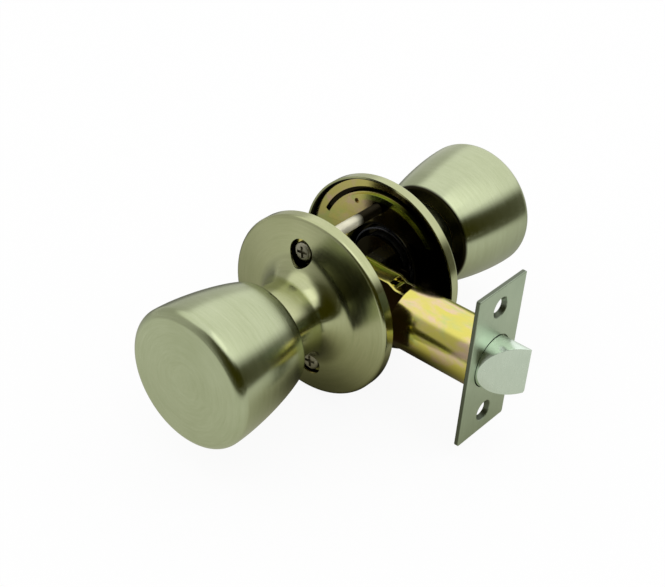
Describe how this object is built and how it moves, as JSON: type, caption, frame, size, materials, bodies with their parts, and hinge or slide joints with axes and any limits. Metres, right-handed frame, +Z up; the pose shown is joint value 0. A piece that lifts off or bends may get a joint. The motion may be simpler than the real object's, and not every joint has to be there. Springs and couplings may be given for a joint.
{
  "type": "passage door latch set",
  "caption": "Passage door set: tulip knobs on trumpet roses turn a square spindle that draws back the bevelled spring bolt of a tubular latch with a rectangular faceplate.",
  "frame": {"origin": "on the spindle axis, midway between the two roses", "axes": "+Y along the spindle to the back knob, +X to the latch faceplate and bolt, +Z up the door"},
  "size_m": [0.104, 0.155, 0.065],
  "materials": {
    "satin_nickel": "brushed nickel plate",
    "pale_nickel": "satin nickel plate",
    "yellow_zinc": "yellow passivated zinc plate",
    "bright_zinc": "bright zinc plate",
    "plain_steel": "plain steel",
    "spring_steel": "oiled spring wire",
    "bush_brass": "sintered bronze"
  },
  "bodies": {
    "case": {"front_rose": "satin_nickel", "back_rose": "satin_nickel", "front_neck_bush": "bush_brass", "back_neck_bush": "bush_brass", "front_mounting_plate": "yellow_zinc", "back_mounting_plate": "yellow_zinc", "front_spring_cup": "yellow_zinc", "back_spring_cup": "yellow_zinc", "front_return_spring": "spring_steel", "back_return_spring": "spring_steel", "mounting_screws": "bright_zinc", "latch_faceplate": "pale_nickel", "latch_tube": "yellow_zinc", "case_channel": "yellow_zinc", "case_cover": "yellow_zinc", "case_rivets": "bright_zinc"},
    "knob_set": {"front_knob": "satin_nickel", "back_knob": "satin_nickel", "front_knob_shank": "plain_steel", "back_knob_shank": "plain_steel", "front_drive_cam": "yellow_zinc", "back_drive_cam": "yellow_zinc", "front_retaining_ring": "spring_steel", "back_retaining_ring": "spring_steel", "spindle": "bright_zinc", "latch_hub": "plain_steel"},
    "retractor": {"retractor": "yellow_zinc", "tail_rod": "bright_zinc", "bolt_spring": "spring_steel"},
    "bolt": {"latch_bolt": "pale_nickel"}
  },
  "joints": [
    {"name": "knob_turn", "type": "hinge", "parent": "case", "child": "knob_set", "pos_m": [0, 0, 0], "axis": [0, 1, 0], "range_deg": [0, 76], "stiffness_Nm_per_rad": 0.25, "springref_deg": -17.19},
    {"name": "retractor_slide", "type": "slide", "parent": "case", "child": "retractor", "axis": [-1, 0, 0], "range_m": [0, 0.0112]},
    {"name": "bolt_slide", "type": "slide", "parent": "retractor", "child": "bolt", "axis": [-1, 0, 0], "range_m": [0, 0.0112], "stiffness_N_per_m": 350, "springref_m": -0.006, "deforming": ["bolt_spring"]}
  ],
  "couplings": [
    {"joint": "retractor_slide", "follows": "knob_turn", "m_per_rad": 0.0084436}
  ]
}
